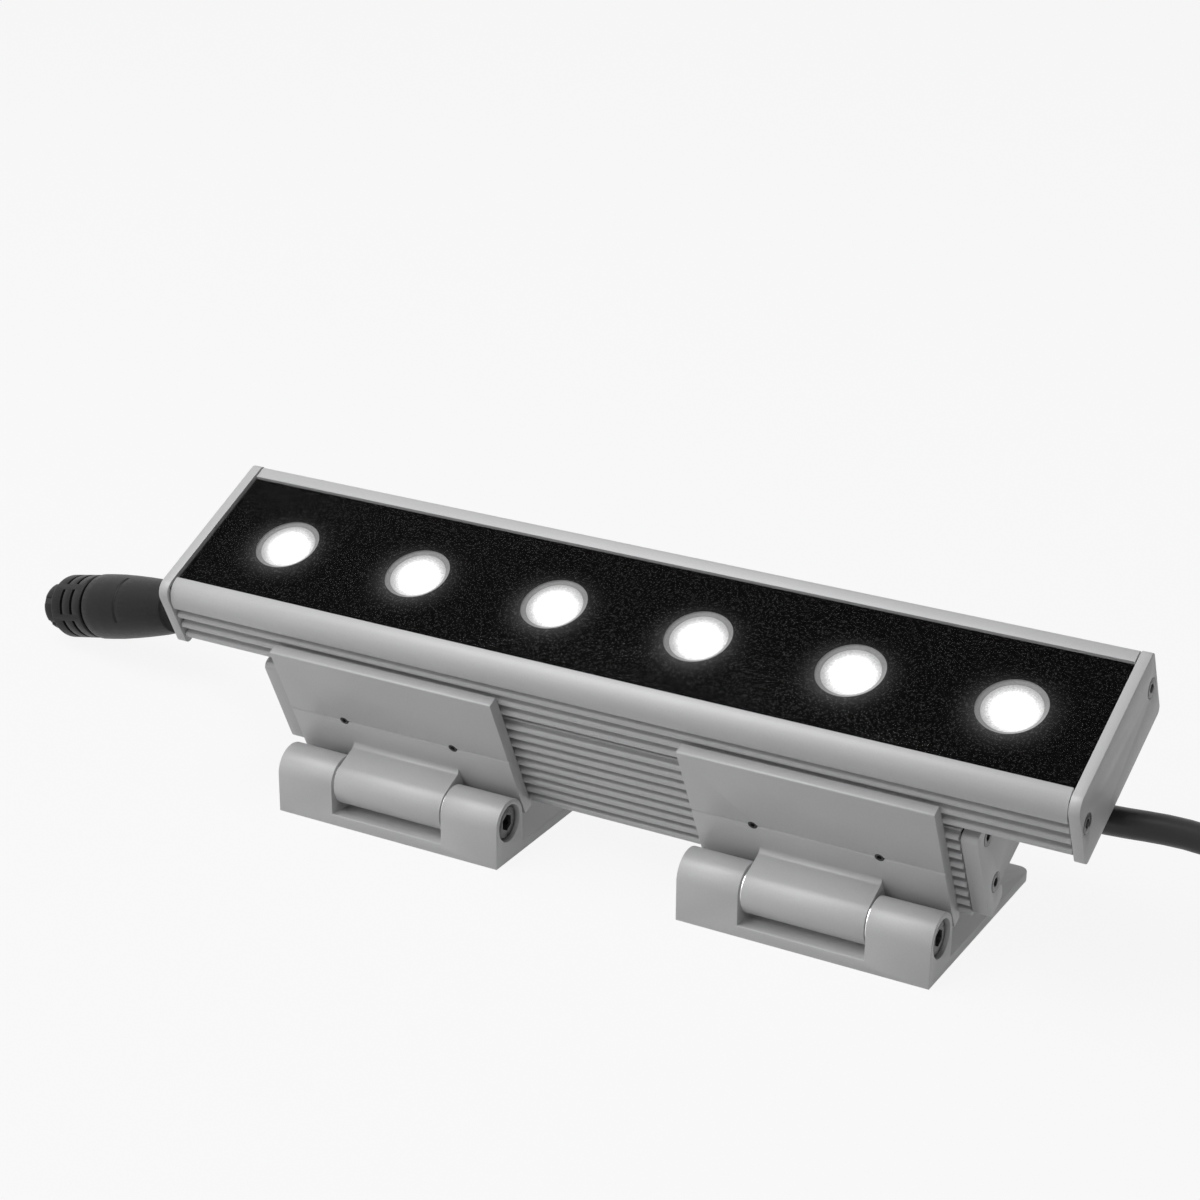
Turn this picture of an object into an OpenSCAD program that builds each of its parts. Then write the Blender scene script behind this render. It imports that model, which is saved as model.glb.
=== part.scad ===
// Wall grazer light: a slim lamp head with one row of bright openings, on a ribbed driver box
// that two hinged brackets hold over their base plates. Lengths are in millimetres.
// The part stands on its base plates: X runs along the lamp, Y away from its front, Z up.
// The lamp's own pieces are drawn flat, with X along the lamp, Y across the black panel from
// its near edge to its far edge, and Z out of the panel, whose near edge is at Y = 0, Z = 0.

/* [Lamp head] */
// Overall length of the head over its end caps
head_len = 305; // [295:1:400]
// Width of the clear cover and of the black panel under it
panel_w = 47.7; // [46:0.1:54]
// Width of the rounded near shoulder beside the panel
near_w = 6.6; // [6.2:0.1:8]
// Width of the flat far border beside the panel
far_w = 5.2; // [5:0.1:7]
// Depth of the head extrusion behind the panel's face
head_d = 22.2; // [22:0.1:26]
// Thickness of the head's floor, which carries the light board
head_floor_t = 3; // [2.5:0.1:4]
// Radius of the near shoulder
shoulder_r = 6; // [3:0.1:6]
// Thickness of each head end cap
cap_t = 3.3; // [3:0.1:5]
// Radius of the caps' near front corner
cap_near_r = 4.5; // [2:0.1:5]
// Radius of the caps' other corners
cap_edge_r = 2; // [1:0.1:3]
// How far the caps stand proud of the head in front
cap_proud_front = 0.3; // [0.2:0.1:2]
// How far the caps stand proud on the near side
cap_proud_near = 0.3; // [0.2:0.05:1]
// How far the caps stand proud on the far side
cap_proud_far = 0.3; // [0.2:0.05:1.5]
// How far the caps stand proud below
cap_proud_low = 1.8; // [0.5:0.1:2]
// Thickness of the gaskets under the caps and the end plates
gasket_t = 0.5; // [0.4:0.1:1.5]

/* [Openings and optics] */
// Number of bright openings
led_count = 6; // [4:2:6]
// Length left over at each end of the head, beyond the even shares of the openings
led_margin = 6.4; // [6.1:0.1:20]
// Distance of the row of openings from the panel's near edge
led_row = 23.7; // [22:0.05:25]
// Diameter of the openings in the black panel
opening_d = 20.8; // [19.9:0.1:22]
// Thickness of the black panel
panel_t = 0.4; // [0.3:0.1:1.5]
// Thickness of the clear cover over the panel
glass_t = 1.1; // [0.8:0.1:3]
// Thickness of the gasket under the panel
seal_t = 1; // [0.8:0.1:1.2]
// Width of the ledge that carries panel and cover
ledge_w = 2.6; // [2:0.1:3]
// Outer diameter of the lens holders
holder_d = 22.6; // [22:0.1:24]
// Diameter of the lenses' bright face
lens_d = 17.6; // [14:0.1:18.5]
// How far the lens face lies below the holder's rim
lens_recess = 0.3; // [0.2:0.1:2]
// Side of the square light chips
chip_w = 3.5; // [3:0.1:4]
// Height of the light chips
chip_h = 1.2; // [0.8:0.1:1.6]
// Thickness of the circuit boards
board_t = 1.6; // [1.2:0.1:2]
// Thickness of the thermal pad under the light board
pad_t = 0.6; // [0.4:0.1:1]

/* [Ribs] */
// Depth of the ribs from tip to root
rib_depth = 2.2; // [1.8:0.1:2.4]
// Thickness of a rib
rib_t = 2.4; // [2:0.1:2.6]
// How far the rib tips lie behind the smooth wall
rib_set = 0.2; // [0.1:0.05:0.5]
// Height of the smooth wall above the head's ribs
smooth_h = 7.9; // [7:0.1:8.5]
// Depth of the head's first rib below the panel's face
head_rib_1 = 11.6; // [11.4:0.1:12]
// Distance between the head's ribs
head_rib_pitch = 4.37; // [4.2:0.01:4.5]
// Distance between the driver box's ribs
box_rib_pitch = 4.117; // [4:0.001:4.15]

/* [Driver box] */
// Length of the box over its end plates
box_len = 241; // [236:1:260]
// Width of the box over its rib tips
box_w = 59.3; // [56:0.1:62]
// Depth of the box without its rails
box_h = 29.9; // [29:0.1:33]
// Wall of the box
box_wall = 2.4; // [2:0.1:3]
// Height of the rails along the box's lower edges
rail_h = 6.3; // [5.5:0.1:7]
// Width of the rails
rail_w = 10.6; // [8:0.1:14]
// Thickness of each end plate
plate_t = 5; // [4:0.1:7]
// How far the end plates lie behind the rib tips
plate_set = 0.3; // [0:0.05:0.8]
// How far the end plates stop below the box's top
plate_drop = 1.2; // [0.5:0.1:2]
// Radius of the end plates' upper corners
plate_top_r = 2.2; // [1:0.1:3]
// Radius of the end plates' lower corners
plate_low_r = 3; // [1:0.1:3]
// Thickness of the strip between the head and the box
bridge_t = 2.3; // [2:0.1:4]
// Depth of the lead outlets below the box's top
exit_drop = 16; // [14:0.1:17]

/* [Bracket leaves] */
// Distance of each bracket's centre from the lamp's centre
bracket_x = 71.2; // [60:0.1:74]
// How far each end of a leaf lies inside its base plate's end
leaf_in = 0.45; // [0.2:0.05:2]
// Thickness of a leaf
leaf_t = 4; // [3:0.1:5]
// Depth of a leaf's upper edge below the panel's face
leaf_top = 13.1; // [12:0.1:15]
// Height of a leaf
leaf_h = 49; // [47:0.1:49.4]
// Depth of the scribed screw line below the panel's face
screw_line = 38.3; // [36:0.1:40]
// Distance of the leaf screws from the bracket's centre
screw_x = 20; // [12:0.1:30]
// Diameter of the hinge barrel
barrel_d = 14.6; // [13.6:0.1:14.8]
// Depth of the hinge axis below the panel's face
axis_drop = 56.55; // [56:0.05:57]
// Distance of the hinge axis in front of the leaf
axis_off = 8.7; // [8.5:0.05:9.5]
// Radius of the fillet between web and leaf
web_fillet = 1.8; // [1:0.1:3]
// Angle of the lamp from lying flat over its base plates
tilt = 24.75; // [20:0.25:30]

/* [Base plates] */
// Width of a base plate
base_w = 80.8; // [78:0.1:84]
// Thickness of a base plate
base_t = 3.2; // [2.5:0.1:4]
// Distance of a base plate's back edge from the hinge axis
base_back = 69.8; // [66:0.1:75]
// Height of the hinge axis above the mounting surface
axis_h = 12.7; // [12.4:0.1:14]
// Radius of the knuckles
knuckle_r = 7.7; // [7.5:0.1:8.2]
// Width of the slot between the knuckles
slot_w = 40.4; // [39:0.1:42]
// Height of the sill in front of the slot
sill_h = 3.7; // [3.3:0.1:4.2]
// Radius of the base plate's back corners
back_r = 3.5; // [1:0.1:6]
// Diameter of the mounting holes
mount_d = 5.5; // [4:0.1:6]
// Distance between the mounting holes along X
mount_dx = 52; // [40:1:60]
// Distance between the mounting holes along Y
mount_dy = 30; // [20:1:34]
// Distance of the front mounting holes from the hinge axis
mount_front = 24; // [20:1:28]

/* [Pivot] */
// Diameter of the pivot bolt's shank
bolt_d = 6; // [5:0.1:6.2]
// Diameter of the pivot bolt's head
bolt_head_d = 10; // [9.5:0.1:10.5]
// Height of the pivot bolt's head
bolt_head_h = 6; // [5:0.1:6]
// Diameter of the counterbore in the right knuckle
counterbore_d = 11.9; // [11:0.1:12.4]
// Depth of the counterbore
counterbore_l = 7; // [6.5:0.1:9]
// Wall of the bushes in the barrel
bush_wall = 1.1; // [0.8:0.1:1.4]
// Length of each bush
bush_l = 14; // [8:0.5:18]
// Thickness of the friction washers
washer_t = 0.5; // [0.3:0.05:0.5]
// Room between a washer and the barrel
washer_gap = 0.2; // [0.1:0.05:0.3]

/* [Leads and connectors] */
// Diameter of the leads
lead_d = 8.8; // [7:0.1:9]
// Length of the glands outside the end plates
gland_l = 6; // [5:0.5:7]
// Across-flats size of the gland nuts
gland_af = 16; // [15:0.5:17]
// Length of the tapered strain reliefs
relief_l = 14; // [12:0.5:20]
// Diameter of a strain relief at its root
relief_d = 13; // [11:0.5:14]
// Length of a connector
plug_l = 70; // [66:0.1:76]
// Diameter of a connector's grip
plug_d = 23.2; // [21:0.1:23.6]
// Diameter of the left connector's mating shell
shell_d = 17.3; // [17:0.1:18]
// Diameter of the lock rings
ring_d = 22.6; // [21:0.1:23]
// Diameter of the core on which the lock rings turn
core_d = 15.4; // [15:0.1:15.6]

/* [Hidden] */
$fn = 64;

// One overrun for every cut, and the clearances between pieces
over = 1;
fit_gap = 0.1;
press_gap = 0.02;
run_gap = 0.05;
lens_gap = 0.3;

// Places across the lamp (Y) and out of its panel (Z)
far_y = panel_w + far_w;
tip_y = -near_w + rib_set;
root_y = tip_y + rib_depth;
far_root_y = far_y - rib_set - rib_depth;
ledge_z = -panel_t - glass_t - seal_t;
floor_z = -head_d + head_floor_t;
board_z = floor_z + pad_t + board_t;
rim_z = -panel_t - glass_t - lens_gap;
face_z = rim_z - lens_recess;
lens_flange = 1.5;
box_top = -head_d - bridge_t;
box_low = box_top - box_h;
rail_low = box_low - rail_h;
box_mid = tip_y + box_w / 2;
exit_z = box_top - exit_drop;

// Lengths along the lamp
body_l = head_len - 2 * (cap_t + gasket_t);
tube_l = box_len - 2 * (plate_t + gasket_t);
led_pitch = (head_len - 2 * led_margin) / led_count;
led_xs = [for (i = [0 : led_count - 1]) (i - (led_count - 1) / 2) * led_pitch];

// Screw sizes: thread radius, head radius and head height
screw_r = 1.5;
screw_head_r = 3.05;
screw_head_h = 2.1;
screw_l = 11;
cap_screw_drop = 10.7;
cap_screw_in = 4.1;
plate_screw_in = 7.2;
plate_screw_low = 3;
plate_screw_high = 6.8;
boss_r = 3;
hex_share = 0.55;

// Hinge axis in the lamp's own places, and the place of the part's origin
leaf_w = base_w - 2 * leaf_in;
leaf_back = tip_y - run_gap;
leaf_front = leaf_back - leaf_t;
axis_y = leaf_front - axis_off;
axis_z = -axis_drop;
barrel_r = barrel_d / 2;
barrel_w = slot_w - 2 * (washer_t + run_gap + washer_gap);
nose_y = -near_w - cap_proud_near + cap_near_r - axis_y;
nose_z = cap_proud_front - cap_near_r - axis_z;
front_reach = max(knuckle_r, nose_z * sin(tilt) - nose_y * cos(tilt) + cap_near_r);
pivot_y = (front_reach - base_back) / 2;

// Screws and wires between the head and the driver box
joint_pitch = 50;
joint_xs = [for (i = [0 : 3]) (i - 1.5) * joint_pitch];
joint_r = 2;
joint_head_r = 3.5;
joint_head_h = 2.4;
joint_bite = 2.2;
light_screw_turns = [-2, -1, 1, 2];
light_board_in = 4;
light_board_end = 6;
wire_in = 11.5;
wire_y = panel_w - wire_in;
wire_r = 0.6;
grommet_r = 3;
grommet_flange = 1.2;

// Driver board and what stands on it: lengths, then places as shares of half the board
post_h = 2.4;
post_r = 3;
driver_board_l = 196;
driver_board_in = 3;
driver_board_top = box_low + box_wall + post_h + board_t;
driver_board_near = tip_y + rib_depth + box_wall + boss_r + driver_board_in;
driver_board_far = 2 * box_mid - driver_board_near;
transformer_l = 24;
transformer_w = 22;
transformer_h = 15;
bobbin_l = 14;
bobbin_w = 28;
bobbin_h = 10;
transformer_share = 0.5;
can_r = 6.5;
can_l = 20;
can_shares = [-0.5, -0.05];
drum_r = 4;
drum_h = 12;
drum_shares = [-0.25, 0.3];
choke_r = 8;
choke_core = 2.6;
choke_share = -0.77;
chip_l = 10;
chip_t = 4.5;
chip_tall = 13;
chip_shares = [-0.62, 0.12, 0.72];
block_l = 10;
block_w = 18;
block_h = 10;
block_x = driver_board_l / 2 - 8;

// Glands and the leads' ends inside the box
gland_thread_r = 6;
locknut_t = 3;
relief_wall = 0.7;
seal_h = 1.2;
tail_in = 12;
core_r = 0.9;

// Small forms of leaves and base plates
line_cut = 0.35;
leaf_edge_r = 0.6;
thread_end = 3.4;
dish_r = 9.6;
knuckle_w = (base_w - slot_w) / 2;

// Routes of the two leads, from the strain relief to the connector
left_route = [
    [-140.5, 2.5, 45.0], [-144.9, 2.7, 44.9], [-149.3, 3.3, 44.6], [-153.6, 4.3, 44.1],
    [-157.8, 5.7, 43.3], [-161.9, 7.6, 42.3], [-165.5, 9.7, 41.2], [-169.1, 12.2, 39.9],
    [-172.5, 14.8, 38.4], [-175.6, 17.3, 36.9], [-179.0, 19.9, 35.3], [-182.5, 22.3, 33.7],
    [-186.0, 24.4, 32.2], [-189.9, 26.3, 30.7], [-193.8, 27.7, 29.4], [-198.0, 28.8, 28.1]
];
right_route = [
    [140.5, 2.5, 45.0], [146.2, 2.9, 45.0], [151.6, 3.5, 45.0], [157.1, 4.4, 45.0],
    [162.6, 5.5, 44.8], [168.2, 6.6, 44.3], [173.5, 7.5, 43.5], [178.9, 8.3, 42.3],
    [184.2, 8.9, 40.7], [189.7, 9.2, 38.6], [194.7, 9.3, 36.2], [199.6, 9.2, 33.4],
    [204.2, 8.8, 30.4], [208.8, 8.0, 27.1], [213.1, 6.9, 23.9], [217.5, 5.5, 20.5],
    [221.7, 3.9, 17.4], [226.1, 1.9, 14.4], [230.5, -0.3, 11.7], [235.0, -2.8, 9.4],
    [239.4, -5.4, 7.6], [244.2, -8.4, 6.1], [248.7, -11.3, 5.1], [253.4, -14.3, 4.5],
    [258.2, -17.2, 4.4], [263.2, -19.9, 4.6], [268.3, -22.3, 5.2], [273.3, -24.2, 6.1],
    [278.6, -25.8, 7.2], [284.0, -27.0, 8.4], [289.5, -27.8, 9.6], [295.0, -28.3, 10.6],
    [300.3, -28.7, 11.2], [306.0, -29.0, 11.6]
];
left_heading = 169.5;
left_dip = 14.5;
right_heading = -3;
right_dip = 0;
lead_sides = 8;

// The connectors' profile: shares of their length and of their grip's radius
grip_shares = [
    [0, 0.50], [0.02, 0.60], [0.045, 0.70], [0.05, 0.76], [0.146, 0.84], [0.27, 0.91],
    [0.38, 0.96], [0.47, 0.99], [0.56, 1.00], [0.612, 1.00], [0.622, 0.96]
];
collar_share = 0.629;
ring_l_share = 0.247;
core_l_share = 0.887;
grip_start_share = 0.143;
grip_step_share = 0.0735;
grip_r = 0.9;
grip_arc = 96;
grip_turn = 125;

// The connectors' mating ends
insert_share = 0.7;
bore_share = 0.72;
key_w = 2.4;
key_d = 1.1;
shell_round = 2.6;
rim_notches = 12;
notch_w = 1.6;
notch_d = 0.7;
ring_step = 1.5;
ring_gap = 0.9;
window_shares = [0.333, 0.651];
window_w = 1.4;
window_d = 1.1;
window_arc = 48;
window_turn = 115;
nut_core_share = 0.79;
nut_insert_share = 0.07;
pin_end_share = 0.92;
contact_r = 0.9;
contact_count = 5;

// Puts the lamp, drawn flat, at its tilt over the hinge
module lamp_place() {
    translate([0, pivot_y, axis_h])
        rotate([tilt, 0, 0])
            translate([0, -axis_y, -axis_z])
                children();
}

// Draws a section of the lamp as a bar along X, centred at x
module bar(x, l) {
    translate([x - l / 2, 0, 0])
        rotate([90, 0, 90])
            linear_extrude(l)
                children();
}

// A cylinder along X that starts at x
module rod(x, y, z, r, l) {
    translate([x, y, z])
        rotate([0, 90, 0])
            cylinder(h = l, r = r);
}

// A rectangle between two corners
module area(y0, z0, y1, z1) {
    translate([y0, z0])
        square([y1 - y0, z1 - z0]);
}

// What a rounded corner takes away; sy and sz point into the section
module corner_cut(y, z, sy, sz, r) {
    translate([y, z])
        turn_corner(sy, sz)
            difference() {
                translate([-over, -over])
                    square(r + over);
                translate([r, r])
                    circle(r);
            }
}

// Turns a corner drawn for the lower near side into another corner
module turn_corner(sy, sz) {
    rotate(sy > 0 ? (sz > 0 ? 0 : 270) : (sz > 0 ? 90 : 180))
        children();
}

// A rectangle with its four corners rounded: low near, low far, top far, top near
module soft_area(y0, z0, y1, z1, r) {
    difference() {
        area(y0, z0, y1, z1);
        corner_cut(y0, z0, 1, 1, r[0]);
        corner_cut(y1, z0, -1, 1, r[1]);
        corner_cut(y1, z1, -1, -1, r[2]);
        corner_cut(y0, z1, 1, -1, r[3]);
    }
}

// One row of ribs with round tips; side is 1 on the near wall and -1 on the far wall
module ribs(first, pitch, count, side) {
    tip = side > 0 ? tip_y : far_y - rib_set;
    for (i = [0 : count - 1]) {
        z = -first - i * pitch;
        translate([tip + side * rib_t / 2, z])
            circle(rib_t / 2);
        area(min(tip + side * rib_t / 2, tip + side * (rib_depth + over)), z - rib_t / 2,
             max(tip + side * rib_t / 2, tip + side * (rib_depth + over)), z + rib_t / 2);
    }
}

// Head extrusion: rounded near shoulder, channel for panel and glass, and three ribs a side
module head_section() {
    difference() {
        soft_area(-near_w, -head_d, far_y, 0, [1, 1, cap_edge_r * 0.75, shoulder_r]);
        area(-near_w - over, -head_d - over, root_y, -smooth_h);
        area(far_root_y, -head_d - over, far_y + over, -smooth_h);
        area(-fit_gap, ledge_z, panel_w + fit_gap, over);
        area(ledge_w, floor_z, panel_w - ledge_w, over);
    }
    ribs(head_rib_1, head_rib_pitch, 3, 1);
    ribs(head_rib_1, head_rib_pitch, 3, -1);
}

module head_extrusion() {
    color("silver")
        lamp_place()
            difference() {
                bar(0, body_l)
                    head_section();
                for (s = [-1, 1])
                    for (y = cap_screw_ys())
                        rod(s > 0 ? body_l / 2 - screw_l : -body_l / 2 - over,
                            y, -cap_screw_drop, screw_r, screw_l + over);
                for (x = joint_xs)
                    translate([x, box_mid, -head_d - over])
                        cylinder(h = joint_bite + fit_gap + over, r = joint_r);
                for (i = light_screw_turns)
                    translate([i * led_pitch, led_row, floor_z - joint_bite])
                        cylinder(h = joint_bite + over, r = screw_r);
                translate([0, wire_y, -head_d - over])
                    cylinder(h = head_floor_t + 2 * over, r = grommet_r);
            }
}

function cap_screw_ys() = [-near_w + cap_screw_in, far_y - cap_screw_in];

// A countersunk place for a flat socket screw, cut from the outside of an end plate
module head_seat(x, y, z, side) {
    rod(side > 0 ? x - screw_head_h - fit_gap : x - over, y, z,
        screw_head_r + fit_gap, screw_head_h + fit_gap + over);
    rod(x - screw_l, y, z, screw_r + fit_gap, 2 * screw_l);
}

// A socket screw along X, with its head outwards and flush
module end_screw(x, y, z, side) {
    difference() {
        union() {
            rod(side > 0 ? x - screw_head_h : x, y, z, screw_head_r, screw_head_h);
            rod(side > 0 ? x - screw_l : x, y, z, screw_r - press_gap, screw_l);
        }
        translate([x, y, z])
            rotate([0, side > 0 ? -90 : 90, 0])
                translate([0, 0, -over])
                    cylinder(h = over + screw_head_h * hex_share, r = screw_r, $fn = 6);
    }
}

module cap_section() {
    soft_area(-near_w - cap_proud_near, -head_d - cap_proud_low,
              far_y + cap_proud_far, cap_proud_front,
              [cap_edge_r, cap_edge_r, cap_edge_r, cap_near_r]);
}

module head_cap(side) {
    color("silver")
        lamp_place()
            difference() {
                bar(side * (head_len - cap_t) / 2, cap_t)
                    cap_section();
                for (y = cap_screw_ys())
                    head_seat(side * head_len / 2, y, -cap_screw_drop, side);
            }
}

module head_cap_left() {
    head_cap(-1);
}

module head_cap_right() {
    head_cap(1);
}

// Gaskets between caps and extrusion: a frame that follows the section, set back a little
module head_cap_gaskets() {
    color([0.12, 0.12, 0.12])
        lamp_place()
            for (s = [-1, 1])
                difference() {
                    bar(s * (body_l + gasket_t) / 2, gasket_t)
                        difference() {
                            area(root_y, -head_d + fit_gap, far_root_y, -fit_gap - glass_t);
                            area(ledge_w, floor_z, panel_w - ledge_w, rim_z);
                        }
                    for (y = cap_screw_ys())
                        rod(s * body_l / 2 - 2 * over, y, -cap_screw_drop,
                            screw_r + fit_gap, 4 * over);
                }
}

module head_cap_screws() {
    color([0.25, 0.25, 0.26])
        lamp_place()
            for (s = [-1, 1])
                for (y = cap_screw_ys())
                    end_screw(s * head_len / 2, y, -cap_screw_drop, s);
}

// Black panel with its round openings, a thin sheet under the clear cover
module front_panel() {
    color([0.05, 0.05, 0.05])
        lamp_place()
            difference() {
                bar(0, body_l)
                    area(0, -glass_t - panel_t, panel_w, -glass_t);
                for (x = led_xs)
                    translate([x, led_row, -glass_t - panel_t - over])
                        cylinder(h = panel_t + 2 * over, r = opening_d / 2);
            }
}

module front_glass() {
    color([0.8, 0.9, 0.9, 0.4])
        lamp_place()
            bar(0, body_l)
                area(0, -glass_t, panel_w, 0);
}

module glass_gasket() {
    color([0.15, 0.15, 0.15])
        lamp_place()
            for (y = [[0, ledge_w], [panel_w - ledge_w, panel_w]])
                bar(0, body_l)
                    area(y[0], ledge_z, y[1], ledge_z + seal_t);
}

// Lens holders: pale cups on the light board, open cones with a step that carries the lens
module lens_holders() {
    holder_h = rim_z - board_z;
    lip = (holder_d - lens_d) / 2;
    color([0.85, 0.85, 0.86])
        lamp_place()
            for (x = led_xs)
                translate([x, led_row, board_z])
                    rotate_extrude()
                        polygon([
                            [chip_w + lip / 2, 0],
                            [holder_d / 2, 0],
                            [holder_d / 2, holder_h],
                            [holder_d / 2 - lip / 3, holder_h],
                            [lens_d / 2 + fit_gap, holder_h - lens_recess],
                            [lens_d / 2 + fit_gap, holder_h - lens_recess - lens_flange],
                            [lens_d / 2 - lip / 2, holder_h - lens_recess - lens_flange - fit_gap],
                            [chip_w + lip / 2, chip_h]
                        ]);
}

// Lenses: a flange, a cone that narrows towards the chip, and a cup over the chip
module lenses() {
    lens_h = face_z - board_z - chip_h / 2;
    cup_r = chip_w * 0.72;
    cup_h = chip_h * 1.5;
    color([1, 1, 0.96])
        lamp_place()
            for (x = led_xs)
                translate([x, led_row, face_z - lens_h])
                    difference() {
                        union() {
                            translate([0, 0, lens_h - lens_flange + fit_gap])
                                cylinder(h = lens_flange - fit_gap, r = lens_d / 2);
                            cylinder(h = lens_h - lens_flange + fit_gap, r1 = cup_r + 2 * lens_gap,
                                     r2 = lens_d / 2 - (holder_d - lens_d) / 4 - lens_gap);
                        }
                        translate([0, 0, -over])
                            cylinder(h = cup_h + over, r = cup_r);
                    }
}

module light_board() {
    color([0.9, 0.9, 0.88])
        lamp_place()
            difference() {
                bar(0, body_l - 2 * light_board_end)
                    area(light_board_in, board_z - board_t, panel_w - light_board_in, board_z);
                for (i = light_screw_turns)
                    translate([i * led_pitch, led_row, board_z - board_t - over])
                        cylinder(h = board_t + 2 * over, r = screw_r + fit_gap);
                for (s = [-1, 1])
                    translate([s * 2 * wire_r, wire_y, board_z - board_t - over])
                        cylinder(h = board_t + 2 * over, r = wire_r + fit_gap);
            }
}

module light_chips() {
    color([1, 0.9, 0.5])
        lamp_place()
            for (x = led_xs)
                translate([x - chip_w / 2, led_row - chip_w / 2, board_z])
                    cube([chip_w, chip_w, chip_h * 0.9]);
}

// Pan screws that hold the light board on the head's floor
module light_board_screws() {
    color([0.6, 0.6, 0.62])
        lamp_place()
            for (i = light_screw_turns)
                translate([i * led_pitch, led_row, floor_z - joint_bite + fit_gap]) {
                    cylinder(h = board_z - floor_z + joint_bite - fit_gap,
                             r = screw_r - press_gap);
                    translate([0, 0, board_z - floor_z + joint_bite - fit_gap])
                        cylinder(h = screw_head_h, r1 = screw_head_r, r2 = screw_head_r * 0.8);
                }
}

module thermal_pad() {
    color([0.55, 0.6, 0.7])
        lamp_place()
            difference() {
                bar(0, body_l - 2 * light_board_end)
                    area(light_board_in, floor_z, panel_w - light_board_in, floor_z + pad_t);
                for (i = light_screw_turns)
                    translate([i * led_pitch, led_row, floor_z - over])
                        cylinder(h = pad_t + 2 * over, r = screw_r + fit_gap);
                translate([0, wire_y, floor_z - over])
                    cylinder(h = pad_t + 2 * over, r = grommet_r);
            }
}

// Strip that joins the driver box to the head and carries heat between them
module bridge_strip() {
    color([0.5, 0.5, 0.52])
        lamp_place()
            difference() {
                bar(0, tube_l)
                    area(root_y + 2 * rib_depth, box_top,
                         far_root_y - 2 * rib_depth, -head_d);
                for (x = joint_xs)
                    translate([x, box_mid, box_top - over])
                        cylinder(h = bridge_t + 2 * over, r = joint_r + fit_gap);
                translate([0, wire_y, box_top - over])
                    cylinder(h = bridge_t + 2 * over, r = grommet_r);
            }
}

module joining_screws() {
    color([0.6, 0.6, 0.62])
        lamp_place()
            for (x = joint_xs)
                translate([x, box_mid, box_top - box_wall - joint_head_h])
                    difference() {
                        union() {
                            cylinder(h = joint_head_h, r = joint_head_r);
                            cylinder(h = joint_head_h + box_wall + bridge_t + joint_bite,
                                     r = joint_r - press_gap);
                        }
                        translate([0, 0, -over])
                            cylinder(h = over + joint_head_h * hex_share, r = joint_r * 0.8,
                                     $fn = 6);
                    }
}

// Rubber sleeve that seals the wires' way from the box into the head
module wire_grommet() {
    low = box_top - box_wall;
    color([0.1, 0.1, 0.1])
        lamp_place()
            translate([0, wire_y, low - grommet_flange])
                difference() {
                    union() {
                        cylinder(h = grommet_flange, r = grommet_r + grommet_flange);
                        cylinder(h = grommet_flange + floor_z - low, r = grommet_r - press_gap);
                    }
                    for (s = [-1, 1])
                        translate([s * 2 * wire_r, 0, -over])
                            cylinder(h = 2 * over + grommet_flange + floor_z - low,
                                     r = wire_r + press_gap);
                }
}

// The two wires from the driver board up to the light board
module link_wires() {
    color([0.8, 0.15, 0.1])
        lamp_place()
            for (s = [-1, 1])
                translate([s * 2 * wire_r, wire_y, driver_board_top])
                    cylinder(h = board_z + wire_r - driver_board_top, r = wire_r);
}

// Section of the driver box: walls, rails along its lower edges, and nine ribs a side
module box_outline(inset) {
    area(tip_y + inset, box_low, tip_y + box_w - inset, box_top);
    for (s = [0, 1])
        translate([s * (2 * box_mid), 0])
            mirror([s, 0]) {
                area(tip_y + inset, rail_low, tip_y + rail_w - rail_h / 2, box_low + over);
                translate([tip_y + rail_w - rail_h / 2, (rail_low + box_low) / 2])
                    circle(rail_h / 2);
            }
}

module box_section() {
    first = -rail_low - rib_t / 2 - 8 * box_rib_pitch;
    box_outline(rib_depth);
    for (s = [0, 1])
        translate([s * (2 * box_mid), 0])
            mirror([s, 0])
                ribs(first, box_rib_pitch, 9, 1);
}

// The hollow of the box, less the round bosses that take the end screws
module box_hollow() {
    inner_y = tip_y + rib_depth + box_wall;
    difference() {
        area(inner_y, box_low + box_wall, 2 * box_mid - inner_y, box_top - box_wall);
        for (y = plate_screw_ys())
            for (z = plate_screw_zs())
                translate([y, z])
                    circle(boss_r);
    }
}

function plate_screw_ys() = [tip_y + plate_screw_in, tip_y + box_w - plate_screw_in];
function plate_screw_zs() = [box_low + plate_screw_low, box_top - plate_screw_high];

module driver_housing() {
    color("silver")
        lamp_place()
            difference() {
                bar(0, tube_l)
                    difference() {
                        box_section();
                        box_hollow();
                    }
                for (s = [-1, 1])
                    for (y = plate_screw_ys())
                        for (z = plate_screw_zs())
                            rod(s > 0 ? tube_l / 2 - screw_l : -tube_l / 2 - over,
                                y, z, screw_r, screw_l + over);
                for (x = joint_xs)
                    translate([x, box_mid, box_top - box_wall - over])
                        cylinder(h = box_wall + 2 * over, r = joint_r + fit_gap);
                translate([0, wire_y, box_top - box_wall - over])
                    cylinder(h = box_wall + 2 * over, r = grommet_r);
                for (b = [-1, 1])
                    for (s = [-1, 1])
                        translate([b * bracket_x + s * screw_x, tip_y - over, -screw_line])
                            rotate([-90, 0, 0])
                                cylinder(h = rib_depth + box_wall + 2 * over, r = screw_r);
            }
}

// End plate outline: the box's section with its corners rounded
module plate_section() {
    near_y = tip_y + plate_set;
    far_edge = 2 * box_mid - near_y;
    difference() {
        box_outline(plate_set);
        corner_cut(near_y, rail_low, 1, 1, plate_low_r);
        corner_cut(far_edge, rail_low, -1, 1, plate_low_r);
        area(near_y - over, box_top - plate_drop, far_edge + over, box_top + over);
        corner_cut(near_y, box_top - plate_drop, 1, -1, plate_top_r);
        corner_cut(far_edge, box_top - plate_drop, -1, -1, plate_top_r);
    }
}

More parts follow.
